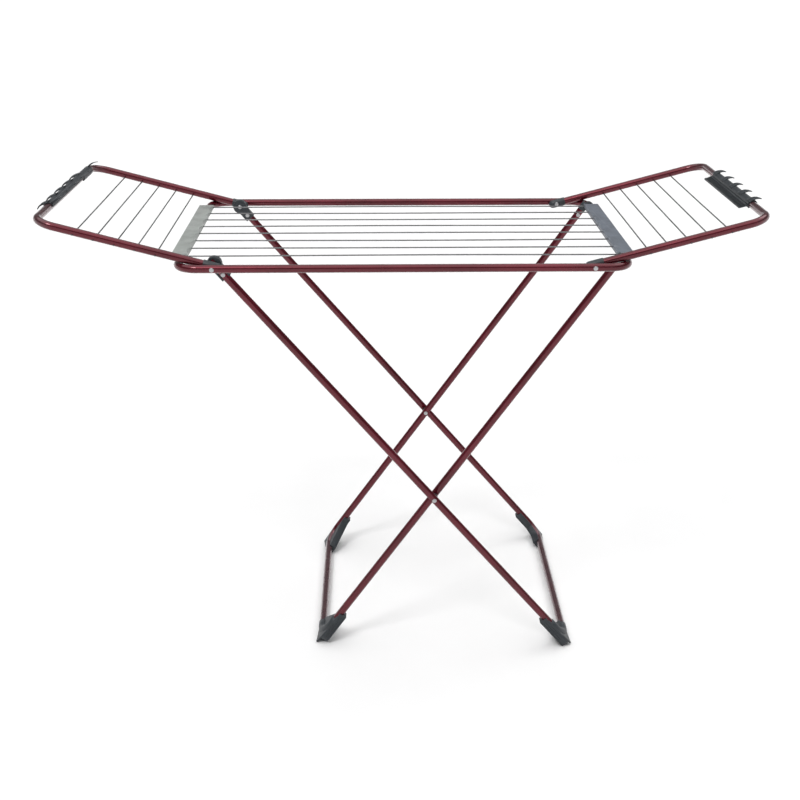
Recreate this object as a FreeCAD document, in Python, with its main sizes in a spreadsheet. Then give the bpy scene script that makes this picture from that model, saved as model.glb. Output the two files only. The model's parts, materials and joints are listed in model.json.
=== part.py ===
"""Winged clothes drying rack: a wired top frame on a scissor of two tube leg frames, with two folding wings.

Millimetres, +Z up, +X towards the end that the inner legs clip to, origin on the floor under the middle.
It is modelled open, as it stands in use.
"""
import FreeCAD
import Part
import math
import os
import re

import Sketcher

SIZES = {
    # tube and clearances
    "tube_diameter": 16, "tube_wall": 1, "snug_gap": 0.1, "pin_gap": 0.05,
    "wing_gap": 2.5, "leg_gap": 2.5, "cross_gap": 6,
    # top frame
    "rail_height": 865, "frame_length": 880, "rail_spacing": 593, "frame_corner": 40, "pivot_inset": 70.5,
    "spigot_length": 90, "rail_joint_x": 228,
    # wings
    "wing_reach": 349, "wing_corner": 38, "wing_rest_gap": 0.5, "arm_end": 9,
    # legs
    "bar_height": 15, "outer_foot_x": 354, "inner_foot_x": 178, "inner_top_inset": 13, "leg_corner": 40,
    "outer_leg_top": 10, "inner_tube_start": 8, "crimp_spacing": 34, "crimp_diameter": 4.2,
    # wires
    "wire_diameter": 2.8, "frame_wire_rise": 5.6, "socket_depth": 6, "first_wire": 112,
    "last_wire_inset": 77, "wire_tip": 1, "wing_wire_drop": 5,
    # end strips
    "strip_clip_gap": 3.4, "strip_margin": 5.5, "strip_wall": 2, "strip_inner_lip": 5.5,
    "strip_outer_lip": 10.5, "strip_skirt": 3, "strip_edge_drop": 5, "scallop_depth": 5, "scallop_width": 46,
    "dot_diameter": 3,
    # rivets and washers
    "rivet_diameter": 4.8, "rivet_head_diameter": 9, "rivet_head_height": 1.6, "rivet_head_bevel": 1.5,
    "washer_diameter": 15,
    # plastic fittings
    "cap_wall": 1.2, "cap_length": 20, "disc_diameter": 30, "disc_thickness": 3, "joint_cover": 5,
    "joint_end": 36, "joint_wall": 2.4, "joint_rivet_at": 26, "clip_bore_gap": 0.5, "clip_wall": 3.5,
    "clip_collar_wall": 0.8, "clip_nose": 12, "clip_mouth_turn": 60, "clip_lip": 1, "plug_length": 24,
    "clip_rivet_at": 13,
    # shoes
    "shoe_wall": 2.5, "shoe_on_leg": 72, "shoe_on_bar": 62, "shoe_depth": 14, "shoe_lip": 3,
    "outer_heel_cut": 6, "outer_web_wall": 2.9, "inner_heel_cut": 12.5, "inner_web_wall": 26.25,
    # hanger combs
    "comb_pitch": 70, "comb_offset": 7, "comb_wall": 2, "comb_plate_width": 20,
    "comb_plate_thickness": 3, "comb_rib": 1.2, "claw_width": 12, "claw_reach": 6.9, "claw_rise": 2.9,
    "claw_thickness": 2.6, "claw_flat": 6, "claw_tip": 3.4, "claw_hook": 4.25, "left_comb_turn": 50,
    "tail_gap": 3, "tail_end_gap": 10, "tail_wall": 1.8, "horn_length": 26, "horn_thickness": 3.4,
    "horn_lean": 45,
}
FRAME_WIRES = 8
WING_WIRES = 5
CLAWS = 5
RIBS = 5
NAMES = re.compile(r"\b(" + "|".join(SIZES) + r")\b")

# Places that several pieces share, as formulas over the sizes.
TUBE_R = "(tube_diameter / 2)"
BORE_R = "(tube_diameter / 2 - tube_wall)"
RAIL_Y = "(rail_spacing / 2)"
ARM_Y = f"({RAIL_Y} - tube_diameter - wing_gap)"
OUTER_Y = f"({ARM_Y} - tube_diameter - leg_gap)"
INNER_Y = f"({OUTER_Y} - tube_diameter - cross_gap)"
END_X = "(frame_length / 2)"
PIVOT_X = f"({END_X} - pivot_inset)"
DROP = "(rail_height - bar_height)"
OUTER_RUN = f"(outer_foot_x + {PIVOT_X})"
INNER_RUN = f"({END_X} - inner_top_inset + inner_foot_x)"
OUTER_LENGTH = f"sqrt({OUTER_RUN}^2 + {DROP}^2)"
INNER_LENGTH = f"sqrt({INNER_RUN}^2 + {DROP}^2)"
PIN_HOLE_R = "(rivet_diameter / 2 + pin_gap)"
WIRE_HOLE_R = "(wire_diameter / 2 + snug_gap)"
# The strips fill the room between the two leg clips, and the wires are spread over them.
STRIP_LENGTH = f"(2 * ({INNER_Y} - {TUBE_R} - clip_collar_wall - strip_clip_gap))"
STRIP_SKIN = f"({TUBE_R} + snug_gap + strip_wall)"
STRIP_INNER = f"({TUBE_R} + strip_inner_lip)"
STRIP_OUTER = f"({TUBE_R} + strip_outer_lip)"
FRAME_PITCH = f"(({STRIP_LENGTH} - 2 * strip_margin) / {FRAME_WIRES - 1})"
WING_PITCH = f"((wing_reach - last_wire_inset - first_wire) / {WING_WIRES - 1})"
COMB_LENGTH = f"({CLAWS - 1} * comb_pitch + claw_width)"
# The tail clip takes what is left of the straight end tube beside the comb.
TAIL_START = f"({COMB_LENGTH} / 2 + tail_gap - comb_offset)"
TAIL_LENGTH = f"({ARM_Y} - wing_corner - tail_end_gap - {TAIL_START})"
# An arm lies on the bend of the frame's corner, so its rest angle follows that bend.
BEND_X = f"({END_X} - frame_corner + sqrt(frame_corner^2 - ({ARM_Y} - {RAIL_Y} + frame_corner)^2))"

doc = FreeCAD.newDocument("drying_rack")
sheet = doc.addObject("Spreadsheet::Sheet", "Sizes")
for row, (alias, value) in enumerate(SIZES.items(), start=1):
    sheet.set(f"A{row}", alias)
    sheet.set(f"B{row}", str(value))
    sheet.setAlias(f"B{row}", alias)
doc.recompute()
parts = []


def formula(text):
    """The same formula with each size written as its spreadsheet cell."""
    return NAMES.sub(r"Sizes.\1", str(text))


def num(text):
    """What a formula comes to now."""
    result = sheet.evalExpression(formula(text))
    return float(getattr(result, "Value", result))


def bind(item, **properties):
    """Ties each named property of an object to its formula."""
    for name, text in properties.items():
        item.setExpression(name, formula(text))


def turn(axis, degrees):
    return FreeCAD.Rotation(FreeCAD.Vector(*axis), degrees)


def at(x=0, y=0, z=0, rotation=None):
    """A placement from formulas of its three coordinates."""
    return FreeCAD.Placement(FreeCAD.Vector(num(x), num(y), num(z)), rotation or FreeCAD.Rotation())


def keep(item, label):
    """Names an object as a finished sub-part."""
    item.Label = label
    parts.append(item)
    return item


# ---------------------------------------------------------------- sketches and features
def new_body(label, placement):
    body = doc.addObject("PartDesign::Body", label)
    body.AllowCompound = True
    body.Placement = placement
    return keep(body, label)


def origin_plane(body, role):
    return next(item for item in body.Origin.OriginFeatures if item.Role == role)


def new_sketch(body, role, shift="0"):
    """A sketch on one of the body's own origin planes, moved along the plane's normal."""
    sketch = body.newObject("Sketcher::SketchObject", "Sketch")
    sketch.AttachmentSupport = [(origin_plane(body, role), "")]
    sketch.MapMode = "FlatFace"
    sketch.setExpression("AttachmentOffset.Base.z", formula(shift))
    return sketch


def dimension(sketch, kind, *places, text):
    """A driving constraint whose value is a formula."""
    index = sketch.addConstraint(Sketcher.Constraint(kind, *places, num(text)))
    sketch.setExpression(f"Constraints[{index}]", formula(text))


def pin_point(sketch, geometry, point, x, y):
    dimension(sketch, "DistanceX", -1, 1, geometry, point, text=x)
    dimension(sketch, "DistanceY", -1, 1, geometry, point, text=y)


def vector(x, y):
    return FreeCAD.Vector(num(x), num(y), 0)


def add_line(sketch, start, end):
    line = sketch.addGeometry(Part.LineSegment(vector(*start), vector(*end)), False)
    pin_point(sketch, line, 1, *start)
    return line


def add_polygon(sketch, points):
    """A closed outline with every corner tied to its formulas."""
    lines = [add_line(sketch, a, b) for a, b in zip(points, points[1:] + points[:1])]
    for a, b in zip(lines, lines[1:] + lines[:1]):
        sketch.addConstraint(Sketcher.Constraint("Coincident", a, 2, b, 1))


def add_circle(sketch, x, y, radius):
    circle = sketch.addGeometry(
        Part.Circle(vector(x, y), FreeCAD.Vector(0, 0, 1), num(radius)), False)
    pin_point(sketch, circle, 3, x, y)
    dimension(sketch, "Radius", circle, text=radius)


def step_from(point, direction, distance):
    return tuple(f"{p} + {d} * {distance}" for p, d in zip(point, direction))


def add_bent_path(sketch, points, radius):
    """Straight runs along the sketch's axes, joined by quarter bends."""
    ways = []
    for a, b in zip(points, points[1:]):
        dx, dy = (num(f"{q} - ({p})") for p, q in zip(a, b))
        ways.append((round(dx / math.hypot(dx, dy)), round(dy / math.hypot(dx, dy))))
    starts = [points[0]] + [step_from(p, way, radius) for p, way in zip(points[1:-1], ways[1:])]
    ends = [step_from(p, way, f"(-{radius})") for p, way in zip(points[1:-1], ways)] + [points[-1]]
    lines = [add_line(sketch, a, b) for a, b in zip(starts, ends)]
    for line, end in zip(lines, ends):
        pin_point(sketch, line, 2, *end)
    for index, (before, after) in enumerate(zip(ways, ways[1:])):
        centre = vector(*step_from(ends[index], after, radius))
        start, end = vector(*ends[index]) - centre, vector(*starts[index + 1]) - centre
        left_turn = before[0] * after[1] - before[1] * after[0] > 0
        first, last = (start, end) if left_turn else (end, start)
        angles = [math.atan2(v.y, v.x) for v in (first, last)]
        circle = Part.Circle(centre, FreeCAD.Vector(0, 0, 1), num(radius))
        arc = sketch.addGeometry(Part.ArcOfCircle(circle, *angles), False)
        arc_start, arc_end = (1, 2) if left_turn else (2, 1)
        sketch.addConstraint(Sketcher.Constraint("Coincident", lines[index], 2, arc, arc_start))
        sketch.addConstraint(Sketcher.Constraint("Coincident", arc, arc_end, lines[index + 1], 1))
        dimension(sketch, "Radius", arc, text=radius)


def pad(body, sketch, length, both_ways=False):
    feature = body.newObject("PartDesign::Pad", "Pad")
    feature.Profile = sketch
    feature.SideType = "Symmetric" if both_ways else "One side"
    bind(feature, Length=length)
    return feature


def pocket(body, sketch, length=None, reverse=False):
    """A cut to a length, or right through both ways."""
    feature = body.newObject("PartDesign::Pocket", "Pocket")
    feature.Profile = sketch
    if length is None:
        feature.SideType = "Symmetric"
        feature.Type = "ThroughAll"
    else:
        feature.Reversed = reverse
        bind(feature, Length=length)
    return feature


def repeat(body, feature, role, pitch, count):
    """The feature repeated in a row along one of the body's origin axes."""
    pattern = body.newObject("PartDesign::LinearPattern", "Row")
    pattern.Originals = [feature]
    pattern.Direction = (origin_plane(body, role), [""])
    pattern.Mode = "Spacing"
    bind(pattern, Offset=pitch)
    pattern.Occurrences = count
    body.Tip = pattern
    return pattern


def sweep_tube(body, kind, points, bend, radii):
    """A round section, or a ring of two radii, swept along a bent path that starts along +X."""
    path = new_sketch(body, "XY_Plane")
    add_bent_path(path, points, bend)
    section = new_sketch(body, "YZ_Plane", points[0][0])
    for radius in radii:
        add_circle(section, points[0][1], "0", radius)
    feature = body.newObject(f"PartDesign::{kind}", "Pipe")
    feature.Profile = section
    feature.Spine = path
    return feature


def drill(body, role, holes, radius):
    """Round holes right through, along the normal of an origin plane."""
    sketch = new_sketch(body, role)
    for x, y in holes:
        add_circle(sketch, x, y, radius)
    return pocket(body, sketch)


def revolved(label, placement, points, both_sides=False):
    """A turned piece about the local X axis, with its mirror image across YZ if wanted."""
    body = new_body(label, placement)
    sketch = new_sketch(body, "XY_Plane")
    add_polygon(sketch, points)
    feature = body.newObject("PartDesign::Revolution", "Turned")
    feature.Profile = sketch
    feature.ReferenceAxis = (sketch, ["H_Axis"])
    if both_sides:
        mirrored = body.newObject("PartDesign::Mirrored", "Pair")
        mirrored.Originals = [feature]
        mirrored.MirrorPlane = (origin_plane(body, "YZ_Plane"), [""])
        body.Tip = mirrored
    return body


# ---------------------------------------------------------------- primitives and booleans
def box(frame, corner, size):
    item = doc.addObject("Part::Box", "Box")
    bind(item, Length=size[0], Width=size[1], Height=size[2])
    item.Placement = frame * at(*corner)
    return item


def cylinder(frame, start, axis, radius, height):
    """A cylinder from a start point, along the local axis "x", "y" or "z"."""
    item = doc.addObject("Part::Cylinder", "Cylinder")
    bind(item, Radius=radius, Height=height)
    ways = {"x": turn((0, 1, 0), 90), "y": turn((1, 0, 0), -90), "z": None}
    item.Placement = frame * at(*start, ways[axis])
    return item


def fuse(*shapes):
    item = doc.addObject("Part::MultiFuse", "Fuse")
    item.Shapes = list(shapes)
    return item


def cut(label, base, *tools):
    """A finished sub-part: the base less its tools."""
    item = doc.addObject("Part::Cut", label)
    item.Base = base
    item.Tool = fuse(*tools) if len(tools) > 1 else tools[0]
    return keep(item, label)


# ---------------------------------------------------------------- frames that the pieces stand in
outer_slope = math.degrees(math.atan2(num(DROP), num(OUTER_RUN)))
inner_slope = math.degrees(math.atan2(num(DROP), num(INNER_RUN)))
wing_tilt = math.degrees(math.asin(num(f"(tube_diameter + wing_rest_gap) / ({BEND_X} - {PIVOT_X})")))
top = at(0, 0, "rail_height")
outer_frame = at(f"-{PIVOT_X}", 0, "rail_height", turn((0, 1, 0), outer_slope))
inner_frame = at(f"{END_X} - inner_top_inset", 0, "rail_height", turn((0, 1, 0), 180 - inner_slope))
half_turn = turn((0, 0, 1), 180)
quarter_turn = turn((0, 0, 1), 90)
wing_frames = {
    "left": at(f"-{PIVOT_X}", 0, "rail_height", turn((0, 1, 0), wing_tilt) * half_turn),
    "right": at(PIVOT_X, 0, "rail_height", turn((0, 1, 0), -wing_tilt)),
}
# The leg frames cross where their two centre lines meet.
closing = math.sin(math.radians(outer_slope + inner_slope))
span = num(f"{PIVOT_X} + {END_X} - inner_top_inset")
cross_on_outer = span * math.sin(math.radians(inner_slope)) / closing
cross_on_inner = span * math.sin(math.radians(outer_slope)) / closing
cross_point = outer_frame.multVec(FreeCAD.Vector(cross_on_outer, 0, 0))
SIDES = {"front": -1, "back": 1}


# ---------------------------------------------------------------- top frame
def make_frame_tube(label, side):
    """One part of the top frame: an end tube and its stretches of the two rails, up to their joints."""
    body = new_body(label, top)
    corners = [("rail_joint_x", f"-{RAIL_Y}"), (f"{side} * {END_X}", f"-{RAIL_Y}"),
               (f"{side} * {END_X}", RAIL_Y), ("rail_joint_x", RAIL_Y)]
    sweep_tube(body, "AdditivePipe", corners, "frame_corner", (TUBE_R, BORE_R))
    drill(body, "XZ_Plane", [(f"{side} * {PIVOT_X}", "0")], PIN_HOLE_R)


def make_spigot(label, placement):
    """A short inner tube that joins two tube ends."""
    outer = f"{BORE_R} - snug_gap"
    inner = f"{BORE_R} - snug_gap - tube_wall"
    half = "spigot_length / 2"
    revolved(label, placement, [(f"-{half}", inner), (half, inner), (half, outer), (f"-{half}", outer)])


def make_strip(side, placement):
    """The plastic strip that snaps over an end tube and holds the wire ends. Local -X points inboard."""
    body = new_body(f"end_strip_{side}", placement)
    block_low = "frame_wire_rise - wire_diameter"
    lip_low = f"{STRIP_SKIN} - strip_edge_drop"
    sketch = new_sketch(body, "XZ_Plane")
    add_polygon(sketch, [
        (f"-{STRIP_INNER}", block_low), (f"-{STRIP_INNER}", STRIP_SKIN), (STRIP_OUTER, STRIP_SKIN),
        (STRIP_OUTER, lip_low), (f"{STRIP_OUTER} - strip_wall", lip_low),
        (f"{STRIP_OUTER} - strip_wall", f"{STRIP_SKIN} - strip_wall"),
        (STRIP_SKIN, f"{STRIP_SKIN} - strip_wall"), (STRIP_SKIN, "-strip_skirt"),
        (f"-{STRIP_SKIN}", "-strip_skirt"), (f"-{STRIP_SKIN}", block_low)])
    pad(body, sketch, STRIP_LENGTH, both_ways=True)
    drill(body, "XZ_Plane", [("0", "0")], f"{TUBE_R} + snug_gap")
    first = f"(strip_margin - {STRIP_LENGTH} / 2)"
    sockets = new_sketch(body, "YZ_Plane", f"-{STRIP_INNER}")
    add_circle(sockets, first, "frame_wire_rise", WIRE_HOLE_R)
    repeat(body, pocket(body, sockets, "socket_depth", reverse=True), "Y_Axis", FRAME_PITCH, FRAME_WIRES)
    marks = new_sketch(body, "XY_Plane", STRIP_SKIN)
    if side == "left":
        radius = "((scallop_width / 2)^2 + scallop_depth^2) / (2 * scallop_depth)"
        centre = f"scallop_depth - {STRIP_INNER} - {radius}"
        add_circle(marks, centre, f"{first} + {FRAME_PITCH} / 2", radius)
        scallop = pocket(body, marks, f"{STRIP_SKIN} + strip_skirt")
        repeat(body, scallop, "Y_Axis", FRAME_PITCH, FRAME_WIRES - 1)
    else:
        add_circle(marks, f"dot_diameter - {STRIP_INNER}", first, "dot_diameter / 2")
        dot = pocket(body, marks, "strip_wall / 2")
        repeat(body, dot, "Y_Axis", FRAME_PITCH, FRAME_WIRES)


def make_frame_wire(index):
    """A wire between the sockets of the two end strips."""
    half = f"({END_X} - {STRIP_INNER} + socket_depth - snug_gap)"
    place = f"{index - (FRAME_WIRES + 1) / 2} * {FRAME_PITCH}"
    wire = cylinder(top, (f"-{half}", place, "frame_wire_rise"), "x", "wire_diameter / 2", f"2 * {half}")
    keep(wire, f"frame_wire_{index}")


def make_rivets(label, placement, inner_face, outer_face):
    """A pair of headed rivets along Y, front and back, between two faces."""
    shank, head = "rivet_diameter / 2", "rivet_head_diameter / 2"
    crown = f"{head} - rivet_head_bevel"
    revolved(label, placement, [
        (f"{inner_face} - rivet_head_height", "0"), (f"{inner_face} - rivet_head_height", crown),
        (f"{inner_face} - rivet_head_height / 2", head), (inner_face, head), (inner_face, shank),
        (outer_face, shank), (outer_face, head), (f"{outer_face} + rivet_head_height / 2", head),
        (f"{outer_face} + rivet_head_height", crown), (f"{outer_face} + rivet_head_height", "0"),
    ], both_sides=True)


# ---------------------------------------------------------------- wings
def make_wing(side):
    frame = wing_frames[side]
    tube = new_body(f"{side}_wing_tube", frame)
    corners = [("-arm_end", f"-{ARM_Y}"), ("wing_reach", f"-{ARM_Y}"), ("wing_reach", ARM_Y),
               ("-arm_end", ARM_Y)]
    sweep_tube(tube, "AdditivePipe", corners, "wing_corner", (TUBE_R, BORE_R))
    drill(tube, "XZ_Plane", [("0", "0")], PIN_HOLE_R)
    holes = drill(tube, "XZ_Plane", [("first_wire", "-wing_wire_drop")], WIRE_HOLE_R)
    repeat(tube, holes, "X_Axis", WING_PITCH, WING_WIRES)
    for end, sign in SIDES.items():
        make_arm_cap(f"{side}_arm_cap_{end}", frame * at(0, f"{sign} * {ARM_Y}", 0))
    for index in range(1, WING_WIRES + 1):
        place = f"first_wire + {index - 1} * {WING_PITCH}"
        make_wing_wire(f"{side}_wing_wire_{index}", frame * at(place, 0, "-wing_wire_drop", quarter_turn))


def make_arm_cap(label, frame):
    """A plastic sleeve over an arm's end, with a round nose and the rivet's hole."""
    outer = f"({TUBE_R} + snug_gap + cap_wall)"
    sleeve = cylinder(frame, ("-arm_end + cap_wall", 0, 0), "x", outer, "cap_length + arm_end - cap_wall")
    nose = doc.addObject("Part::Sphere", "Nose")
    bind(nose, Radius=outer)
    nose.Placement = frame * at("-arm_end + cap_wall", 0, 0)
    bore = cylinder(frame, ("-arm_end", 0, 0), "x", f"{TUBE_R} + snug_gap", "cap_length + 2 * arm_end")
    hole = cylinder(frame, (0, f"-2 * {TUBE_R}", 0), "y", PIN_HOLE_R, "2 * tube_diameter")
    cut(label, fuse(sleeve, nose), bore, hole)


def make_wing_wire(label, placement):
    """A wire through both arms, welded there, whose rounded tips stand a little outside them."""
    reach = f"({ARM_Y} + {TUBE_R})"
    tip = f"({reach} + wire_tip)"
    radius = "wire_diameter / 2"
    revolved(label, placement, [(f"-{tip}", "0"), (f"-{tip}", f"{radius} / 2"), (f"-{reach}", radius),
                                (reach, radius), (tip, f"{radius} / 2"), (tip, "0")])


# ---------------------------------------------------------------- leg frames
def make_leg(label, frame, side, start, length, lateral, holes, upper_side):
    """Half of a leg frame: one leg, the bottom bend and half of the bottom bar."""
    body = new_body(label, frame)
    corners = [(start, f"{side} * {lateral}"), (length, f"{side} * {lateral}"), (length, "0")]
    sweep_tube(body, "AdditivePipe", corners, "leg_corner", (TUBE_R, BORE_R))
    drill(body, "XZ_Plane", [(hole, "0") for hole in holes], PIN_HOLE_R)
    crimp = new_sketch(body, "XY_Plane")
    add_circle(crimp, length, f"{side} * crimp_spacing / 2", "crimp_diameter / 2")
    pocket(body, crimp, "tube_diameter", reverse=upper_side > 0)


def make_shoe(label, frame, side, length, lateral, upper_side, heel_cut, web_wall):
    """A plastic corner shoe: a trough that the bent tube lies in, with a heel and a web inside the bend.

    Its sole is cut flat where it meets the floor.
    """
    body = doc.addObject("PartDesign::Body", f"{label}_blank")
    body.Placement = frame
    wall = f"({TUBE_R} + shoe_wall)"
    outside, inside = f"({lateral} + {wall})", f"({lateral} - {wall})"
    # The web's edge lies across the corner, its wall away from the inside of the bend.
    web = f"((2 - sqrt(2)) * leg_corner + sqrt(2) * ({TUBE_R} + snug_gap + {web_wall}) - 2 * {wall})"
    above, below = f"({length} - {wall})", f"({length} + {wall})"
    top, end = f"{length} - shoe_on_leg", f"{lateral} - shoe_on_bar"
    outline = [
        (top, inside), (top, outside), (f"{below} - {heel_cut}", outside), (below, f"{outside} - {heel_cut}"),
        (below, end), (above, end), (above, f"{inside} - {web}"), (f"{above} - {web}", inside)]
    low = "-shoe_depth" if upper_side > 0 else "-shoe_lip"
    sketch = new_sketch(body, "XY_Plane", low)
    add_polygon(sketch, [(x, f"{side} * ({y})") for x, y in outline])
    pad(body, sketch, "shoe_depth + shoe_lip")
    corners = [(f"{length} - 2 * shoe_on_leg", f"{side} * {lateral}"), (length, f"{side} * {lateral}"),
               (length, "0")]
    sweep_tube(body, "SubtractivePipe", corners, "leg_corner", (f"{TUBE_R} + snug_gap",))
    ground = box(at(), ("-frame_length", "-rail_spacing", "-bar_height"),
                 ("2 * frame_length", "2 * rail_spacing", "bar_height"))
    cut(label, body, ground)


def make_leg_joint(label, side):
    """The plastic hub on an outer leg's top end, with a disc against the inner side and a short sleeve."""
    low, depth = f"({OUTER_Y} - {TUBE_R} - disc_thickness)", f"(disc_thickness + {TUBE_R} + joint_cover)"
    start = low if side > 0 else f"-({OUTER_Y} + joint_cover)"
    high = f"({TUBE_R} + joint_wall)"
    hub = cylinder(outer_frame, (0, start, 0), "y", "disc_diameter / 2", depth)
    sleeve = box(outer_frame, (0, start, f"-{high}"), ("joint_end", depth, f"2 * {high}"))
    bore = cylinder(outer_frame, ("-outer_leg_top", f"{side} * {OUTER_Y}", 0), "x", f"{TUBE_R} + snug_gap / 2",
                    "3 * joint_end")
    behind = f"{side} * {OUTER_Y} - tube_diameter"
    holes = [cylinder(outer_frame, (place, behind, 0), "y", PIN_HOLE_R, "2 * tube_diameter")
             for place in ("0", "joint_rivet_at")]
    cut(label, fuse(hub, sleeve), bore, *holes)


def make_leg_clip(label, side):
    """The plastic hook on top of an inner leg. Its jaw sits over the inboard half of the end tube."""
    tube = at(END_X, f"{side} * {INNER_Y}", "rail_height")
    mouth = tube * at(rotation=turn((0, 1, 0), num("clip_mouth_turn")))
    bore = f"({TUBE_R} + clip_bore_gap)"
    deep, wide, far = "2 * tube_diameter", "3 * tube_diameter", "4 * tube_diameter"
    jaw = cylinder(mouth, (0, f"-{TUBE_R}", 0), "y", f"{bore} + clip_wall", "tube_diameter")
    opened = box(mouth, ("clip_lip", "-tube_diameter", "-2 * tube_diameter"), (wide, deep, far))
    half_jaw = doc.addObject("Part::Cut", "HalfJaw")
    half_jaw.Base = jaw
    half_jaw.Tool = opened
    leg = inner_frame * at(0, f"{side} * {INNER_Y}", 0)
    collar = cylinder(leg, ("-clip_nose", 0, 0), "x", f"{TUBE_R} + clip_collar_wall",
                      "clip_nose + inner_tube_start")
    plug = cylinder(leg, (0, 0, 0), "x", f"{BORE_R} - snug_gap", "inner_tube_start + plug_length")
    channel = cylinder(tube, (0, "-tube_diameter", 0), "y", bore, deep)
    passage = box(mouth, (0, "-tube_diameter", f"-{bore}"), (wide, deep, f"2 * {bore}"))
    hole = cylinder(leg, ("inner_tube_start + clip_rivet_at", "-tube_diameter", 0), "y", PIN_HOLE_R, deep)
    cut(label, fuse(half_jaw, collar, plug), channel, passage, hole)


# ---------------------------------------------------------------- hanger combs
def make_comb(side, placement):
    """A clip-on comb: a ribbed plate inboard of the wing's end tube and claws that curl outwards over it."""
    body = new_body(f"{side}_hanger_comb", placement)
    bore, skin = f"({TUBE_R} + snug_gap)", f"({TUBE_R} + snug_gap + comb_wall)"
    edge = f"-({TUBE_R} + comb_plate_width)"
    plate = new_sketch(body, "XZ_Plane")
    add_polygon(plate, [(edge, "0"), (f"-{bore}", "0"), (f"-{bore}", "comb_plate_thickness"),
                        (edge, "comb_plate_thickness")])
    pad(body, plate, COMB_LENGTH, both_ways=True)
    ribs = new_sketch(body, "XZ_Plane")
    low, high = "comb_plate_thickness / 2", "comb_plate_thickness + comb_rib"
    add_polygon(ribs, [(edge, low), (f"{edge} + comb_rib", low), (f"{edge} + comb_rib", high), (edge, high)])
    rib = pad(body, ribs, COMB_LENGTH, both_ways=True)
    repeat(body, rib, "X_Axis", f"(comb_plate_width + {TUBE_R} - {skin} - comb_rib) / {RIBS - 1}", RIBS)
    first = f"{(CLAWS - 1) / 2} * comb_pitch"
    clip = new_sketch(body, "XZ_Plane", first)
    add_circle(clip, "0", "0", skin)
    ring = pad(body, clip, "claw_width", both_ways=True)
    repeat(body, ring, "Y_Axis", "comb_pitch", CLAWS)
    claw = new_sketch(body, "XZ_Plane", first)
    reach, rise = f"({skin} + claw_reach)", f"({skin} + claw_rise)"
    under = f"{rise} - claw_thickness"
    add_polygon(claw, [
        ("0", TUBE_R), ("0", skin), (f"{reach} - claw_tip - claw_flat", rise), (f"{reach} - claw_tip", rise),
        (reach, under), (f"{reach} - claw_hook", under), (f"{reach} - 2 * claw_hook", f"{under} - comb_rib"),
        (TUBE_R, f"{TUBE_R} / 2")])
    hook = pad(body, claw, "claw_width", both_ways=True)
    repeat(body, hook, "Y_Axis", "comb_pitch", CLAWS)
    drill(body, "XZ_Plane", [("0", "0")], bore)
    mouth = new_sketch(body, "XZ_Plane")
    add_polygon(mouth, [("-tube_diameter", "-tube_diameter"), ("tube_diameter", "-tube_diameter"),
                        ("tube_diameter", f"-{TUBE_R} / 2"), ("-tube_diameter", f"-{TUBE_R} / 2")])
    pocket(body, mouth)


def make_tail_clip(placement):
    """A clip beside the left comb, with a horn that rises inboard. Local +Y runs along the tube."""
    bore, skin = f"({TUBE_R} + snug_gap)", f"({TUBE_R} + snug_gap + tail_wall)"
    sleeve = cylinder(placement, (0, 0, 0), "y", skin, TAIL_LENGTH)
    horn = doc.addObject("Part::Cone", "Horn")
    bind(horn, Radius1="horn_thickness / 2", Radius2="horn_thickness / 4", Height="horn_length")
    lean = turn((0, 1, 0), num("horn_lean"))
    horn.Placement = placement * at(0, f"{TAIL_LENGTH} - horn_thickness", TUBE_R, lean)
    tube = cylinder(placement, (0, f"-{TAIL_LENGTH}", 0), "y", bore, f"3 * {TAIL_LENGTH}")
    mouth = box(placement, ("-tube_diameter", f"-{TAIL_LENGTH}", "-2 * tube_diameter"),
                ("2 * tube_diameter", f"3 * {TAIL_LENGTH}", f"2 * tube_diameter - {TUBE_R} / 2"))
    cut("left_tail_clip", fuse(sleeve, horn), tube, mouth)


# ---------------------------------------------------------------- the rack
def make_top_frame():
    make_frame_tube("frame_tube_left", -1)
    make_frame_tube("frame_tube_right", 1)
    for end, sign in SIDES.items():
        make_spigot(f"rail_spigot_{end}", top * at("rail_joint_x", f"{sign} * {RAIL_Y}", 0))
    make_strip("left", at(f"-{END_X}", 0, "rail_height", half_turn))
    make_strip("right", at(END_X, 0, "rail_height"))
    for index in range(1, FRAME_WIRES + 1):
        make_frame_wire(index)
    disc_face = f"{OUTER_Y} - {TUBE_R} - disc_thickness"
    cap_face = f"{ARM_Y} - {TUBE_R} - cap_wall - snug_gap"
    rail_face = f"{RAIL_Y} + {TUBE_R}"
    make_rivets("left_pivot_rivets", at(f"-{PIVOT_X}", 0, "rail_height", quarter_turn), disc_face, rail_face)
    make_rivets("right_pivot_rivets", at(PIVOT_X, 0, "rail_height", quarter_turn), cap_face, rail_face)


def make_outer_legs():
    holes = ["0", "joint_rivet_at", str(cross_on_outer)]
    for end, sign in SIDES.items():
        leg = (outer_frame, sign)
        make_leg(f"outer_leg_{end}", *leg, "-outer_leg_top", OUTER_LENGTH, OUTER_Y, holes, 1)
        make_shoe(f"outer_shoe_{end}", *leg, OUTER_LENGTH, OUTER_Y, 1, "outer_heel_cut", "outer_web_wall")
        make_leg_joint(f"leg_joint_{end}", sign)
    make_spigot("outer_bar_spigot", outer_frame * at(OUTER_LENGTH, 0, 0, quarter_turn))
    disc_face, leg_face = f"{OUTER_Y} - {TUBE_R} - disc_thickness", f"{OUTER_Y} + {TUBE_R}"
    make_rivets("joint_rivets", outer_frame * at("joint_rivet_at", 0, 0, quarter_turn), disc_face, leg_face)
    cross = FreeCAD.Placement(cross_point, quarter_turn)
    make_rivets("cross_rivets", cross, f"{INNER_Y} - {TUBE_R}", leg_face)
    low, high, rim = f"{INNER_Y} + {TUBE_R}", f"{OUTER_Y} - {TUBE_R}", "washer_diameter / 2"
    washer = [(low, PIN_HOLE_R), (high, PIN_HOLE_R), (high, rim), (low, rim)]
    revolved("cross_washers", cross, washer, both_sides=True)


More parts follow.
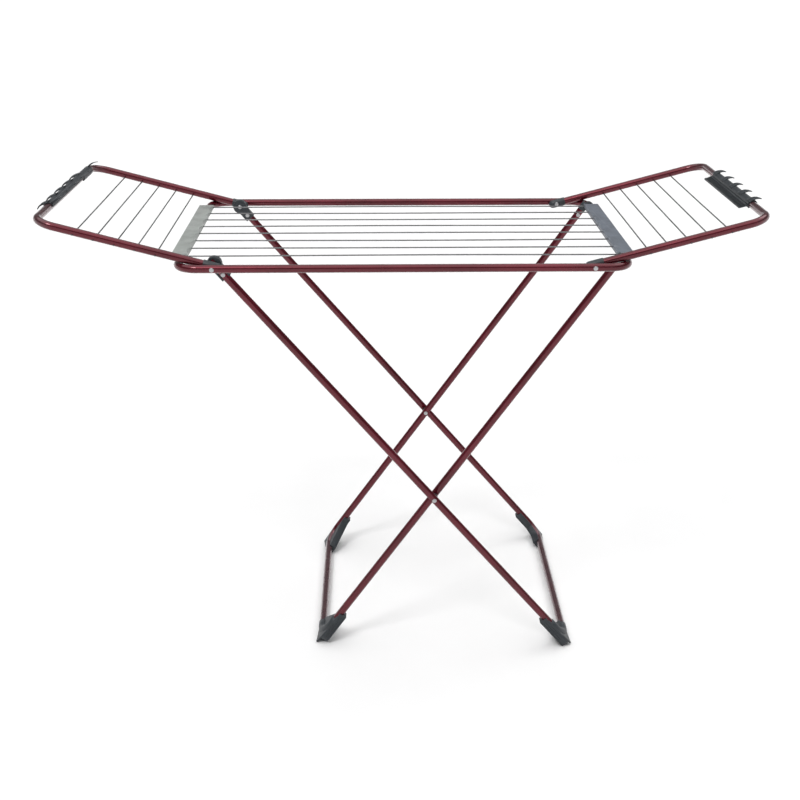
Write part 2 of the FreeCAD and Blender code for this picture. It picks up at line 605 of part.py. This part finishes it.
def make_inner_legs():
    rivet_at = "inner_tube_start + clip_rivet_at"
    for end, sign in SIDES.items():
        leg = (inner_frame, sign)
        holes = [str(cross_on_inner), rivet_at]
        make_leg(f"inner_leg_{end}", *leg, "inner_tube_start", INNER_LENGTH, INNER_Y, holes, -1)
        make_shoe(f"inner_shoe_{end}", *leg, INNER_LENGTH, INNER_Y, -1, "inner_heel_cut", "inner_web_wall")
        make_leg_clip(f"leg_clip_{end}", sign)
    make_spigot("inner_bar_spigot", inner_frame * at(INNER_LENGTH, 0, 0, quarter_turn))
    clip_rivets = inner_frame * at(rivet_at, 0, 0, quarter_turn)
    make_rivets("clip_rivets", clip_rivets, f"{INNER_Y} - {TUBE_R}", f"{INNER_Y} + {TUBE_R}")


make_top_frame()
make_outer_legs()
make_inner_legs()
for wing in wing_frames:
    make_wing(wing)
make_comb("right", wing_frames["right"] * at("wing_reach", "-comb_offset", 0))
left_end = wing_frames["left"] * at("wing_reach", 0, 0)
make_comb("left", left_end * at(0, "comb_offset", 0, turn((0, 1, 0), num("left_comb_turn"))))
make_tail_clip(left_end * at(0, f"-{TAIL_START}", 0, half_turn))
doc.recompute()

failed = [item.Label for item in doc.Objects if "Invalid" in item.State or "Error" in item.State]
if failed:
    raise SystemExit(f"objects that did not rebuild: {failed}")
for item in parts:
    if item.Shape.isNull() or not item.Shape.isValid():
        raise SystemExit(f"not a valid solid: {item.Label}")
os.makedirs("parts", exist_ok=True)
for item in parts:
    item.Shape.exportStep(f"parts/{item.Label}.step")
print(f"{len(parts)} sub-parts; wing tilt {wing_tilt:.3f}, leg slopes {outer_slope:.3f} {inner_slope:.3f}")
print(f"legs cross at {cross_point.x:.3f}, {cross_point.z:.3f}")
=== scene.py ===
"""Looks for the winged clothes drying rack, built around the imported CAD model. Metres, +Z up.

The tubes, rivets and inner pieces are the CAD's own. The wires, end strips, shoes, joints, caps, clips and
combs are detailed pieces that stand for their CAD nodes.
"""
import json
import math

import bmesh
import bpy
from mathutils import Matrix, Vector


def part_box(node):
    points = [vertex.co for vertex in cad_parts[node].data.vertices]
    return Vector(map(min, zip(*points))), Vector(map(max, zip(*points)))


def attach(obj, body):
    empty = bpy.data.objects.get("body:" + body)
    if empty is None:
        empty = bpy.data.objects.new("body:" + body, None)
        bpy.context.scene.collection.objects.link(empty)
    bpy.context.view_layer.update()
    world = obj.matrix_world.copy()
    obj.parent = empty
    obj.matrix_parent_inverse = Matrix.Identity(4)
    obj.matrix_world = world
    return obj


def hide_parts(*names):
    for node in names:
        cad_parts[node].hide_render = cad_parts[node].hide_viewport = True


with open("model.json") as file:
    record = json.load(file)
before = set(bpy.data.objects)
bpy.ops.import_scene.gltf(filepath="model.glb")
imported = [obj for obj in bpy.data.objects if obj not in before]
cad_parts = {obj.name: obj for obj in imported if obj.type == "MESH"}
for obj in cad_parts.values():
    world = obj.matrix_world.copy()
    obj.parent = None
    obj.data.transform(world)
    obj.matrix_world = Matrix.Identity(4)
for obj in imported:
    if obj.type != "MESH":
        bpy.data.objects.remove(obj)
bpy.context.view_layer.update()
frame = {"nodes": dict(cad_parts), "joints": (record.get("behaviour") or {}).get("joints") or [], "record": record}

MM = 0.001
WINGS = ("left", "right")
ENDS = {"front": -1, "back": 1}
BODY_OF = {node: body for body, nodes in frame["record"]["behaviour"]["bodies"].items() for node in nodes}
SLOT_OF = {item["node"]: item["material_slot"] for item in frame["record"]["subparts"]}
PIVOTS = {joint["name"]: Vector(joint["pos_m"]) for joint in frame["joints"]}

# Stock sizes that the frame's boxes don't give.
TUBE_R = 8 * MM
FIT = 0.15 * MM
WIRE_R = 1.4 * MM
FRAME_WIRES = 8
WING_WIRES = 5
COMB_WALL = 2 * MM
COMB_TURNS = {"left": math.radians(50), "right": 0}
CLAWS = 5
CLAW_PITCH = 70 * MM
DOT_R = 1.5 * MM
LEG_BEND = 40 * MM
TOE_REACH = {"outer": 17 * MM, "inner": 19 * MM}


# ---------------------------------------------------------------- places read from the frame
def centre(node):
    low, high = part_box(node)
    return (low + high) / 2


def local_frame(origin, x_axis, y_axis):
    """A frame with its X and Y axes along two directions that are square to each other."""
    x_axis, y_axis = x_axis.normalized(), y_axis.normalized()
    matrix = Matrix((x_axis, y_axis, x_axis.cross(y_axis))).transposed().to_4x4()
    matrix.translation = origin
    return matrix


def wing_frame(side):
    """The frame at a wing's end tube: X outwards along the arms, Z away from the floor."""
    arm = centre(f"{side}_wing_wire_5") - centre(f"{side}_wing_wire_1")
    across = Vector((0, 1 if side == "right" else -1, 0))
    return local_frame(PIVOTS[f"{side}_comb_turn"], arm, across)


def leg_frame(group):
    """The frame at the middle of a leg frame's bottom bar: X down the legs, Y to the back."""
    bar = centre(f"{group}_bar_spigot")
    top = PIVOTS["top_frame_fold"] if group == "outer" else centre("clip_rivets")
    return local_frame(bar, bar - Vector((top.x, 0, top.z)), Vector((0, 1, 0)))


# ---------------------------------------------------------------- materials
def new_material(name, base, roughness, metallic=0.0, coat=0.0, coat_roughness=0.1, specular=0.5):
    """A Principled material whose constants sit on the shader's own sockets."""
    material = bpy.data.materials.new(name)
    material.use_nodes = True
    material.diffuse_color = (*base, 1)
    shader = material.node_tree.nodes["Principled BSDF"]
    values = {"Base Color": (*base, 1), "Roughness": roughness, "Metallic": metallic, "Coat Weight": coat,
              "Coat Roughness": coat_roughness, "Specular IOR Level": specular}
    for socket, value in values.items():
        shader.inputs[socket].default_value = value
    return material


def add_node(material, kind, **settings):
    node = material.node_tree.nodes.new(kind)
    for key, value in settings.items():
        if key in node.inputs:
            node.inputs[key].default_value = value
        else:
            setattr(node, key, value)
    return node


def link(material, source, target):
    material.node_tree.links.new(source, target)


def noise(material, scale, detail=4.0, stretch=(1, 1, 1), distortion=0.0):
    """Noise over the piece's own coordinates, so that it stays put when the piece moves."""
    place = add_node(material, "ShaderNodeTexCoord")
    mapping = add_node(material, "ShaderNodeMapping", Scale=stretch)
    texture = add_node(material, "ShaderNodeTexNoise", Scale=scale, Detail=detail, Distortion=distortion)
    link(material, place.outputs["Object"], mapping.inputs["Vector"])
    link(material, mapping.outputs["Vector"], texture.inputs["Vector"])
    return texture.outputs["Fac"]


def ramp(material, source, stops):
    node = add_node(material, "ShaderNodeValToRGB")
    link(material, source, node.inputs["Fac"])
    elements = node.color_ramp.elements
    while len(elements) < len(stops):
        elements.new(0.5)
    for element, (position, colour) in zip(elements, stops):
        element.position = position
        element.color = (*colour, 1)
    return node.outputs["Color"]


def mixed(material, factor, first, second):
    node = add_node(material, "ShaderNodeMix", data_type="RGBA")
    sockets = {socket.identifier: socket for socket in node.inputs}
    for key, value in (("Factor_Float", factor), ("A_Color", first), ("B_Color", second)):
        if isinstance(value, bpy.types.NodeSocket):
            link(material, value, sockets[key])
        else:
            sockets[key].default_value = value if key == "Factor_Float" else (*value, 1)
    return next(socket for socket in node.outputs if socket.identifier == "Result_Color")


def vary(material, source, low, high, span=(0, 1)):
    """Maps a span of the source to low..high."""
    node = add_node(material, "ShaderNodeMapRange")
    node.inputs["From Min"].default_value, node.inputs["From Max"].default_value = span
    node.inputs["To Min"].default_value = low
    node.inputs["To Max"].default_value = high
    link(material, source, node.inputs["Value"])
    return node.outputs["Result"]


def into(material, source, socket):
    link(material, source, material.node_tree.nodes["Principled BSDF"].inputs[socket])


def bump(material, heights, distance):
    """One bump from several (height, strength) layers."""
    normal = None
    for height, strength in heights:
        node = add_node(material, "ShaderNodeBump", Strength=strength, Distance=distance)
        link(material, height, node.inputs["Height"])
        if normal:
            link(material, normal, node.inputs["Normal"])
        normal = node.outputs["Normal"]
    into(material, normal, "Normal")


def painted_reflection(material):
    """Where a greyish-pink reflection is painted on the lacquer: most on the bottom bars, near the floor, and on
    the wings' end tubes.
    """
    place = add_node(material, "ShaderNodeTexCoord")
    split = add_node(material, "ShaderNodeSeparateXYZ")
    link(material, place.outputs["Object"], split.inputs["Vector"])
    across = add_node(material, "ShaderNodeMath", operation="ABSOLUTE")
    link(material, split.outputs["X"], across.inputs[0])
    low = vary(material, split.outputs["Z"], 0.8, 0, (22 * MM, 48 * MM))
    far = vary(material, across.outputs["Value"], 0, 0.7, (670 * MM, 712 * MM))
    most = add_node(material, "ShaderNodeMath", operation="MAXIMUM")
    link(material, low, most.inputs[0])
    link(material, far, most.inputs[1])
    patchy = add_node(material, "ShaderNodeMath", operation="MULTIPLY")
    link(material, most.outputs["Value"], patchy.inputs[0])
    link(material, vary(material, noise(material, 45, 6), 0.75, 1.2, (0.3, 0.7)), patchy.inputs[1])
    return patchy.outputs["Value"]


def make_tube_paint():
    """Burgundy metallic lacquer: fine flakes, a cloudy tone and scuffs, with a painted greyish-pink reflection on
    the bars and end tubes.
    """
    paint = new_material("burgundy_lacquer", (0.08, 0.004, 0.010), 0.3, metallic=0.6, coat=0.6,
                         coat_roughness=0.05, specular=0.35)
    cloud = noise(paint, 9, 3)
    tone = ramp(paint, cloud, [(0.3, (0.070, 0.002, 0.007)), (0.7, (0.125, 0.005, 0.016))])
    flakes = ramp(paint, noise(paint, 1400, 2), [(0.55, (0, 0, 0)), (0.72, (0.3, 0.3, 0.3))])
    speckled = mixed(paint, flakes, tone, (0.26, 0.02, 0.035))
    scuffs = ramp(paint, noise(paint, 60, 8, (1, 4, 1), 0.6), [(0.68, (0, 0, 0)), (0.78, (0.3, 0.3, 0.3))])
    scuffed = mixed(paint, scuffs, speckled, (0.18, 0.06, 0.07))
    # Painted reflection: a greyish pink mixed into the lacquer on the bottom bars and the wings' end tubes.
    into(paint, mixed(paint, painted_reflection(paint), scuffed, (0.125, 0.078, 0.086)), "Base Color")
    into(paint, vary(paint, noise(paint, 35, 6), 0.2, 0.36), "Roughness")
    bump(paint, [(noise(paint, 420, 2), 0.05), (noise(paint, 30, 3), 0.04)], 0.2 * MM)
    return paint


def make_plastic(name, base, pale, roughness, grain=0.25):
    """Moulded plastic: a fine spark-eroded grain, soft mottling and thin pale rubs."""
    plastic = new_material(name, base, roughness, specular=0.45)
    mottle = noise(plastic, 28, 5)
    dark = tuple(0.8 * value for value in base)
    tone = ramp(plastic, mottle, [(0.3, dark), (0.7, tuple(1.15 * value for value in base))])
    rubbed = noise(plastic, 75, 9, distortion=0.8)
    rubs = ramp(plastic, rubbed, [(0.62, (0, 0, 0)), (0.74, (0.45, 0.45, 0.45))])
    into(plastic, mixed(plastic, rubs, tone, pale), "Base Color")
    into(plastic, vary(plastic, noise(plastic, 140, 4), roughness - 0.1, roughness + 0.12), "Roughness")
    bump(plastic, [(noise(plastic, 1600, 2), grain), (noise(plastic, 90, 4), 0.12)], 0.15 * MM)
    return plastic


def make_metal(name, base, roughness, stretch=(1, 1, 1), darker=0.72):
    """Plated steel: drawn streaks, dull patches and a little uneven shine."""
    metal = new_material(name, base, roughness, metallic=0.92)
    streaks = noise(metal, 160, 6, stretch)
    low = tuple(darker * value for value in base)
    patches = ramp(metal, noise(metal, 18, 6), [(0.35, low), (0.65, base)])
    streak_colour = tuple(0.6 * value for value in base)
    into(metal, mixed(metal, vary(metal, streaks, 0.0, 0.35), patches, streak_colour), "Base Color")
    into(metal, vary(metal, streaks, roughness - 0.08, roughness + 0.14), "Roughness")
    bump(metal, [(streaks, 0.12)], 0.08 * MM)
    return metal


MATERIALS = {
    "tube_paint": make_tube_paint(),
    "wire_coating": make_metal("grey_wire", (0.2, 0.2, 0.205), 0.4, (0.05, 1, 1)),
    "charcoal_plastic": make_plastic("charcoal_plastic", (0.024, 0.029, 0.034), (0.06, 0.07, 0.078), 0.46),
    "light_strip": make_plastic("light_grey_plastic", (0.30, 0.32, 0.305), (0.42, 0.44, 0.42), 0.42, 0.15),
    "grey_strip": make_plastic("blue_grey_plastic", (0.125, 0.142, 0.17), (0.2, 0.22, 0.255), 0.42, 0.15),
    "rivet_steel": make_metal("bright_zinc", (0.5, 0.5, 0.51), 0.32),
    "inner_steel": make_metal("plain_steel", (0.4, 0.4, 0.41), 0.4),
    "spacer_plastic": make_plastic("black_nylon", (0.022, 0.022, 0.024), (0.06, 0.06, 0.065), 0.4),
}
# A near-black plastic that paints the shade inside the strips' wire sockets.
SOCKET_SHADE = make_plastic("painted_socket_shade", (0.012, 0.014, 0.016), (0.03, 0.032, 0.035), 0.5)


# ---------------------------------------------------------------- mesh tools
def finish_piece(name, bm, node, bevel=0.0, segments=2, stands_for=True, material=None, sharp=35):
    """Turns a bmesh into a piece with softened edges, which stands for its CAD node or adds to it."""
    bmesh.ops.remove_doubles(bm, verts=bm.verts, dist=1e-6)
    bmesh.ops.recalc_face_normals(bm, faces=bm.faces)
    mesh = bpy.data.meshes.new(name)
    bm.to_mesh(mesh)
    bm.free()
    piece = bpy.data.objects.new(name, mesh)
    bpy.context.scene.collection.objects.link(piece)
    if bevel:
        modifier = piece.modifiers.new("Softened", "BEVEL")
        modifier.width = bevel
        modifier.segments = segments
        modifier.limit_method = "ANGLE"
        modifier.angle_limit = math.radians(sharp)
        modifier.use_clamp_overlap = True
        modifier.miter_outer = "MITER_ARC"
        graph = bpy.context.evaluated_depsgraph_get()
        soft = bpy.data.meshes.new_from_object(piece.evaluated_get(graph))
        piece.modifiers.clear()
        piece.data = soft
    piece.data.shade_smooth()
    piece.data.set_sharp_from_angle(angle=math.radians(sharp))
    piece.data.materials.clear()
    piece.data.materials.append(material or MATERIALS[SLOT_OF[node]])
    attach(piece, BODY_OF[node])
    if stands_for:
        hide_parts(node)


def moulded(node, bevel, segments=2):
    """The CAD node's own shape with its flat faces merged and its edges rounded, as a moulding has."""
    source = frame["nodes"][node].data
    mesh = bpy.data.meshes.new(node)
    mesh.from_pydata([v.co[:] for v in source.vertices], [], [p.vertices[:] for p in source.polygons])
    bm = bmesh.new()
    bm.from_mesh(mesh)
    bmesh.ops.remove_doubles(bm, verts=bm.verts, dist=1e-6)
    bmesh.ops.dissolve_limit(bm, angle_limit=math.radians(2), verts=bm.verts, edges=bm.edges)
    finish_piece(f"{node}_moulding", bm, node, bevel, segments)


def loft(bm, outlines, place=Matrix()):
    """Joins a row of closed outlines with as many points each, and closes both ends."""
    rings = [[bm.verts.new(place @ point) for point in outline] for outline in outlines]
    count = len(rings[0])
    for first, second in zip(rings, rings[1:]):
        for i in range(count):
            j = (i + 1) % count
            bm.faces.new((first[i], first[j], second[j], second[i]))
    bm.faces.new(rings[0][::-1])
    bm.faces.new(rings[-1])


def round_tube(bm, path, radii, sides, place=Matrix()):
    """A round bar along a path, with a radius at each point."""
    path = [Vector(point) for point in path]
    side = (path[1] - path[0]).normalized().orthogonal().normalized()
    outlines = []
    for i, (point, radius) in enumerate(zip(path, radii)):
        before, after = path[max(i - 1, 0)], path[min(i + 1, len(path) - 1)]
        tangent = (after - before).normalized()
        side = (side - tangent * side.dot(tangent)).normalized()
        up = tangent.cross(side)
        turns = [2 * math.pi * k / sides for k in range(sides)]
        outlines.append([point + (side * math.cos(a) + up * math.sin(a)) * radius for a in turns])
    loft(bm, outlines, place)


def prism(bm, outline, start, end, place, ease):
    """A flat outline in XZ, drawn out along Y, whose ends draw in by the ease."""
    middle = Vector((sum(x for x, z in outline), 0, sum(z for x, z in outline))) / len(outline)
    outlines = []
    for y, inset in ((start, ease), (start + ease, 0), (end - ease, 0), (end, ease)):
        points = []
        for x, z in outline:
            inward = middle - Vector((x, 0, z))
            points.append(Vector((x, y, z)) + inward.normalized() * min(inset, inward.length / 2))
        outlines.append(points)
    loft(bm, outlines, place)


def curve(start, pull, end, steps):
    """Points on a smooth curve that leaves its start towards the pull and comes from it to its end."""
    points = []
    for k in range(steps + 1):
        t = k / steps
        points.append(start * (1 - t) ** 2 + pull * 2 * t * (1 - t) + end * t * t)
    return points


def arc(radius, start, end, steps, cx=0.0, cy=0.0):
    """Points on an arc, in degrees."""
    turns = [math.radians(start + (end - start) * k / steps) for k in range(steps + 1)]
    return [(cx + radius * math.cos(a), cy + radius * math.sin(a)) for a in turns]


# ---------------------------------------------------------------- wires
def make_wire(node, axis, side, bow, sway):
    """A wire as long as its CAD node, a little bowed as real ones are, with rounded ends."""
    low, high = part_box(node)
    steps, sides = 48, 12
    length = (high - low).dot(axis)
    start = (low + high) / 2 - axis * length / 2
    path = []
    for k in range(steps + 1):
        t = k / steps
        wave = bow * math.sin(math.pi * t) ** 2
        drift = sway * math.sin(2 * math.pi * t) * math.sin(math.pi * t)
        path.append(start + axis * length * t + Vector((0, 0, wave)) + side * drift)
    tip = axis * WIRE_R / 2
    path = [path[0], path[0] + tip] + path[1:-1] + [path[-1] - tip, path[-1]]
    radii = [WIRE_R / 2] + [WIRE_R] * (steps + 1) + [WIRE_R / 2]
    bm = bmesh.new()
    round_tube(bm, path, radii, sides)
    finish_piece(f"{node}_bar", bm, node, sharp=60)


def make_wires():
    """The frame's wires along X and the wings' along Y, each with its own slight bow."""
    x_axis, y_axis = Vector((1, 0, 0)), Vector((0, 1, 0))
    for index in range(1, FRAME_WIRES + 1):
        bow, sway = 0.9 * MM * math.sin(1.7 * index), 0.8 * MM * math.cos(2.3 * index)
        make_wire(f"frame_wire_{index}", x_axis, y_axis, bow, sway)
    for side in WINGS:
        for index in range(1, WING_WIRES + 1):
            bow = 0.3 * MM * math.sin(2.1 * index)
            make_wire(f"{side}_wing_wire_{index}", y_axis, x_axis, bow, 0)


make_wires()


# ---------------------------------------------------------------- CAD nodes that only get softer edges
for end in ENDS:
    for group in ("outer", "inner"):
        moulded(f"{group}_shoe_{end}", 1.1 * MM, 3)
    moulded(f"leg_joint_{end}", 0.7 * MM)
    moulded(f"leg_clip_{end}", 0.7 * MM)
    for wing in WINGS:
        moulded(f"{wing}_arm_cap_{end}", 0.4 * MM)
for wing in WINGS:
    moulded(f"end_strip_{wing}", 0.5 * MM)


# ---------------------------------------------------------------- painted shade in the strips' wire sockets
def make_painted_socket_shade():
    """Near-black discs that paint the shade inside the wire sockets, in the dimples along the right strip's
    inboard edge.
    """
    low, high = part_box("end_strip_right")
    base, shoulder, crown = 1.2 * MM, 0.5 * MM, 0.1 * MM
    bm = bmesh.new()
    for index in range(1, FRAME_WIRES + 1):
        y = centre(f"frame_wire_{index}").y
        path = [Vector((low.x + 2 * DOT_R, y, high.z - depth)) for depth in (base, shoulder, crown)]
        round_tube(bm, path, [DOT_R, DOT_R, 0.6 * DOT_R], 16)
    finish_piece("right_strip_painted_socket_shade", bm, "end_strip_right", stands_for=False, material=SOCKET_SHADE)


make_painted_socket_shade()


# ---------------------------------------------------------------- hanger combs and tail clip
def half_sleeve(bm, place, start, end):
    """A sleeve open underneath, which snaps over a tube along Y."""
    inner, first, last, steps = TUBE_R + FIT, -30, 210, 24
    outline = arc(inner + COMB_WALL, first, last, steps) + arc(inner, last, first, steps)
    prism(bm, outline, start, end, place, 0.4 * MM)


def ribbed_plate(bm, place, half):
    """The comb's plate: lengthwise rounded ribs on top, and a thick bead beside the tube."""
    thickness, ribs, rib_points = 3 * MM, 5, 10
    rib_low, rib_height = thickness - 0.8 * MM, 2.2 * MM
    root, edge = -(TUBE_R + 1 * MM), -(TUBE_R + 20 * MM)
    bead, bead_radius = -(TUBE_R + 4.2 * MM), 2.4 * MM
    outline = [(root, 0), (root, thickness)]
    outline += arc(bead_radius, 10, 170, 8, bead, thickness - 0.2 * MM)
    start, points = bead - bead_radius - 0.2 * MM, ribs * rib_points
    for k in range(points + 1):
        wave = 0.5 - 0.5 * math.cos(2 * math.pi * k / rib_points)
        outline.append((start + (edge - start) * k / points, rib_low + rib_height * wave ** 1.5))
    outline += [(edge - 0.3 * MM, thickness / 2), (edge, 0)]
    prism(bm, outline, -half, half, place, 0.8 * MM)


def claw(bm, place, lean):
    """A wave-shaped claw that rises off the sleeve, narrows outwards and drops at its tip."""
    steps, sides, squareness = 14, 16, 0.7
    root, crown, tip = Vector((-6, 0, 7.6)) * MM, Vector((9, 0, 16)) * MM, Vector((18, 0, 9.6)) * MM
    tip_width, root_width = 1.2, 11.5
    tip_thickness, root_thickness = 0.8, 2.4
    sideways = 13 * MM
    path = curve(root, crown, tip, steps)
    outlines = []
    for index, point in enumerate(path):
        t = index / steps
        tangent = (path[min(index + 1, steps)] - path[max(index - 1, 0)]).normalized()
        up = Vector((-tangent.z, 0, tangent.x))
        width = (tip_width + root_width * (1 - t) ** 0.6) * MM
        thickness = (tip_thickness + root_thickness * (1 - t)) * MM
        middle = point + Vector((0, lean * sideways * t ** 1.5, 0))
        outline = []
        for k in range(sides):
            a = 2 * math.pi * k / sides
            flat = math.copysign(abs(math.cos(a)) ** squareness, math.cos(a))
            tall = math.copysign(abs(math.sin(a)) ** squareness, math.sin(a))
            outline.append(middle + Vector((0, width * flat, 0)) + up * thickness * tall)
        outlines.append(outline)
    loft(bm, outlines, place)


def edge_tab(bm, place):
    """A small rounded tab on the plate's free edge."""
    reach, half = -(TUBE_R + 24 * MM), 8 * MM
    root = reach + 6 * MM
    outline = [(reach, 0.3 * MM), (reach, 2.4 * MM), (root, 2.8 * MM), (root, 0.2 * MM)]
    prism(bm, outline, -half, half, place, 1.2 * MM)


def make_comb(side):
    """A comb on a wing's end tube, whose claws lean to the front. The left one has tabs on its free edge."""
    node = f"{side}_hanger_comb"
    low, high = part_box(node)
    end_tube = wing_frame(side)
    along = (end_tube.inverted() @ centre(node)).y
    place = end_tube @ Matrix.Translation((0, along, 0)) @ Matrix.Rotation(COMB_TURNS[side], 4, "Y")
    half = (high.y - low.y) / 2
    bm = bmesh.new()
    half_sleeve(bm, place, -half, half)
    ribbed_plate(bm, place, half)
    to_front = -1 if side == "right" else 1
    for index in range(CLAWS):
        spot = place @ Matrix.Translation((0, (index - (CLAWS - 1) / 2) * CLAW_PITCH, 0))
        claw(bm, spot, to_front)
        if side == "left":
            edge_tab(bm, spot)
    finish_piece(f"{node}_moulding", bm, node, sharp=40)


def make_tail_clip():
    """A short sleeve whose thin horn curves up and inboard."""
    node = "left_tail_clip"
    low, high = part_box(node)
    end_tube = wing_frame("left")
    middle = (low.y + high.y) / 2
    place = end_tube @ Matrix.Translation((0, -middle, 0)) @ Matrix.Rotation(math.pi, 4, "Z")
    half = (high.y - low.y) / 2
    bm = bmesh.new()
    half_sleeve(bm, place, -half, half)
    steps, along = 14, half - 5 * MM
    root, tip = Vector((-1 * MM, along, TUBE_R)), Vector((18 * MM, along, 26 * MM))
    path = curve(root, Vector((2 * MM, along, 20 * MM)), tip, steps)
    root_radius, taper = 2.2, 1.5
    radii = [(root_radius - taper * k / steps) * MM for k in range(steps + 1)]
    round_tube(bm, path, radii, 12, place)
    finish_piece(f"{node}_moulding", bm, node, sharp=40)


for wing in WINGS:
    make_comb(wing)
make_tail_clip()


# ---------------------------------------------------------------- details of the shoes
def shoe_ribs(bm, place, wall, side):
    """Half-round ribs along a shoe's outer wall, which stiffen the trough that the leg lies in."""
    steps, start, run, radius = 10, -66 * MM, 58 * MM, 1.3 * MM
    radii = [radius * math.sin(math.pi * (0.12 + 0.76 * k / steps)) ** 0.4 for k in range(steps + 1)]
    for height in (1.5 * MM, 6.5 * MM, 11.5 * MM):
        path = [Vector((start + run * k / steps, wall, side * height)) for k in range(steps + 1)]
        round_tube(bm, path, radii, 12, place)


def toe_flange(bm, place, lateral, end, side, reach):
    """A flat pointed toe in the plane of the legs, which runs out past the bottom bar to the floor."""
    out = lateral + TUBE_R + 2 * MM
    outer_edge = [(-64 * MM, out), (-16 * MM, out + 1 * MM)]
    tip = [(reach - 1 * MM, out - 7 * MM), (reach, out - 9 * MM), (reach - 2 * MM, out - 13 * MM)]
    bar_edge = [(9 * MM, lateral - 46 * MM), (4 * MM, lateral - 54 * MM), (-2 * MM, lateral - 50 * MM)]
    inner_edge = [(-8 * MM, lateral - 12 * MM), (-60 * MM, lateral + 6 * MM)]
    outline = outer_edge + tip + bar_edge + inner_edge
    faces = (-side * 4.5 * MM, -side * 1.5 * MM)
    loft(bm, [[Vector((x, end * y, z)) for x, y in outline] for z in faces], place)


def bend_cover(bm, place, lateral, end):
    """The closed cover over a front shoe's bend, from the leg round to the bottom bar."""
    steps, cover, rim = 12, TUBE_R + 1.8 * MM, TUBE_R + 0.3 * MM
    path = [Vector((-LEG_BEND - 14 * MM, end * lateral, 0))]
    for k in range(steps + 1):
        a = math.pi / 2 * k / steps
        inward = lateral - LEG_BEND * (1 - math.cos(a))
        path.append(Vector((LEG_BEND * (math.sin(a) - 1), end * inward, 0)))
    path.append(Vector((0, end * (lateral - LEG_BEND - 16 * MM), 0)))
    first, last = path[1] - path[0], path[-1] - path[-2]
    path = [path[0] - first.normalized() * MM] + path + [path[-1] + last.normalized() * MM]
    radii = [rim] + [cover] * (len(path) - 2) + [rim]
    round_tube(bm, path, radii, 32, place)


def make_shoe_details(group, end):
    """Ribs and a pointed toe on each shoe, and a cover over the bend of the front ones."""
    node = f"{group}_shoe_{end}"
    outermost = 0 if end == "front" else 1
    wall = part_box(node)[outermost].y
    lateral = abs(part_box(f"{group}_leg_{end}")[outermost].y) - TUBE_R
    place = leg_frame(group)
    side = 1 if group == "inner" else -1
    bm = bmesh.new()
    shoe_ribs(bm, place, wall, side)
    toe_flange(bm, place, lateral, ENDS[end], side, TOE_REACH[group])
    if end == "front":
        bend_cover(bm, place, lateral, ENDS[end])
    finish_piece(f"{node}_details", bm, node, bevel=0.3 * MM, stands_for=False, sharp=60)


for group in ("outer", "inner"):
    for end in ENDS:
        make_shoe_details(group, end)


# ---------------------------------------------------------------- finishes on the CAD nodes that stay
for node, item in frame["nodes"].items():
    if not item.hide_render:
        item.data.materials.clear()
        item.data.materials.append(MATERIALS[SLOT_OF[node]])


# ---------------------------------------------------------------- floor, light and camera
def make_floor():
    """A plain pale floor, so large that its edge is out of sight."""
    size = 60
    bm = bmesh.new()
    bmesh.ops.create_grid(bm, x_segments=1, y_segments=1, size=size)
    mesh = bpy.data.meshes.new("studio_floor")
    bm.to_mesh(mesh)
    bm.free()
    floor = bpy.data.objects.new("studio_floor", mesh)
    bpy.context.scene.collection.objects.link(floor)
    paper = new_material("pale_paper", (0.86, 0.86, 0.86), 0.9, specular=0.1)
    tint = ramp(paper, noise(paper, 3, 3), [(0.3, (0.85, 0.85, 0.85)), (0.7, (0.87, 0.87, 0.87))])
    into(paper, tint, "Base Color")
    mesh.materials.append(paper)


def make_sun(name, direction, spread, strength):
    """A soft light from far away, so that the floor is evenly lit."""
    light = bpy.data.lights.new(name, "SUN")
    light.energy = strength
    light.angle = math.radians(spread)
    lamp = bpy.data.objects.new(name, light)
    lamp.rotation_euler = Vector(direction).to_track_quat("-Z", "Y").to_euler()
    bpy.context.scene.collection.objects.link(lamp)


def make_world():
    """A studio's surroundings: a bright ceiling, a dark band below it and a pale horizon."""
    world = bpy.data.worlds.new("studio")
    bpy.context.scene.world = world
    world.use_nodes = True
    place = add_node(world, "ShaderNodeTexCoord")
    split = add_node(world, "ShaderNodeSeparateXYZ")
    link(world, place.outputs["Generated"], split.inputs["Vector"])
    bands = ramp(world, split.outputs["Z"], [(0.0, (0.8, 0.81, 0.82)), (0.1, (0.7, 0.71, 0.72)),
                                             (0.22, (0.1, 0.1, 0.1)), (0.6, (0.1, 0.1, 0.1)),
                                             (0.74, (1.0, 1.0, 1.0)), (1.0, (1.0, 1.0, 1.0))])
    background = world.node_tree.nodes["Background"]
    link(world, bands, background.inputs["Color"])
    background.inputs["Strength"].default_value = 1.5


def make_camera():
    """The photograph's viewpoint: from the front, a little above the rack, looking down at it."""
    yaw, pitch, roll = 0.0249, 0.3652, 0.0021
    camera = bpy.data.cameras.new("camera")
    camera.lens = 57.85
    camera.shift_x, camera.shift_y = -0.0106, -0.0030
    camera.clip_end = 200
    eye = bpy.data.objects.new("camera", camera)
    forward = Vector((math.sin(yaw) * math.cos(pitch), math.cos(yaw) * math.cos(pitch), -math.sin(pitch)))
    turn = forward.to_track_quat("-Z", "Y").to_matrix().to_4x4() @ Matrix.Rotation(roll, 4, "Z")
    eye.matrix_world = Matrix.Translation((-0.0511, -2.6997, 1.5171)) @ turn
    bpy.context.scene.collection.objects.link(eye)
    bpy.context.scene.camera = eye


make_floor()
make_sun("key", (0.35, 0.65, -1.0), 16, 1.0)
make_sun("fill", (-0.6, -0.5, -1.0), 30, 0.3)
make_world()
make_camera()
bpy.context.scene.view_settings.view_transform = "Standard"
